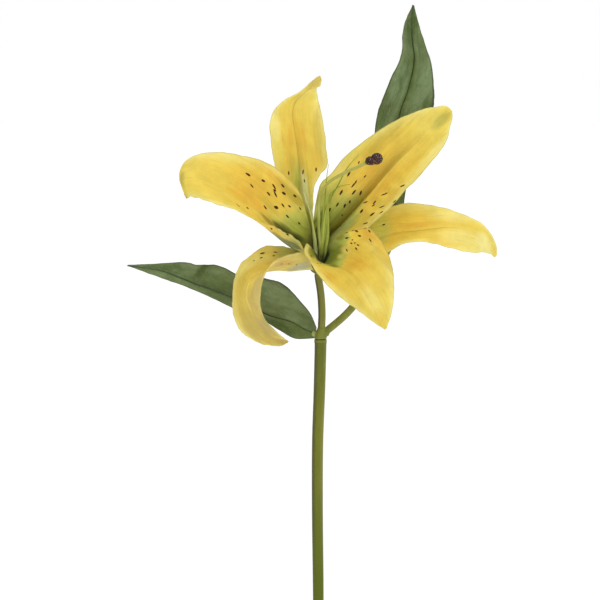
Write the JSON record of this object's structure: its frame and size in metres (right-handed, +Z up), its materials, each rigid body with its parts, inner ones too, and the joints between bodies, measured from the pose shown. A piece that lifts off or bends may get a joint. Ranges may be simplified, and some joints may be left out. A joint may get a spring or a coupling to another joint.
{
  "type": "oriental lily in vase",
  "caption": "Open yellow lily with speckled recurved petals and long green leaves on an upright stem, standing in a plain off-white bottle vase.",
  "frame": {"origin": "centre of the vase's flat base, on the surface it stands on", "axes": "+Z up along the stem, +X to the right as the flower faces the viewer, +Y away from the viewer"},
  "size_m": [0.2124, 0.1304, 0.5416],
  "materials": {
    "petal": "soft matte petal cloth, lemon margins, orange middle, green throat, dark speckles",
    "leaf": "matte leaf cloth with a pressed midrib",
    "stem": "moulded olive green, satin",
    "style": "pale green, satin",
    "stigma": "dark purple-brown, bumpy and glossy",
    "vase": "plain off-white satin glaze"
  },
  "bodies": {
    "root": {"vase": "vase", "stem": "stem", "stem_collar": "stem", "leaf_branch": "stem", "flower_stalk": "stem", "receptacle": "stem", "leaf_left": "leaf", "leaf_upper": "leaf", "tepal_inner_left": "petal", "tepal_inner_upper_right": "petal", "tepal_inner_front": "petal", "tepal_outer_top": "petal", "tepal_outer_right": "petal", "tepal_outer_curled": "petal", "ovary": "style", "style": "style", "filament_1": "style", "filament_2": "style", "filament_3": "style", "filament_4": "style", "filament_5": "style", "filament_6": "style", "stigma": "stigma"}
  },
  "joints": []
}
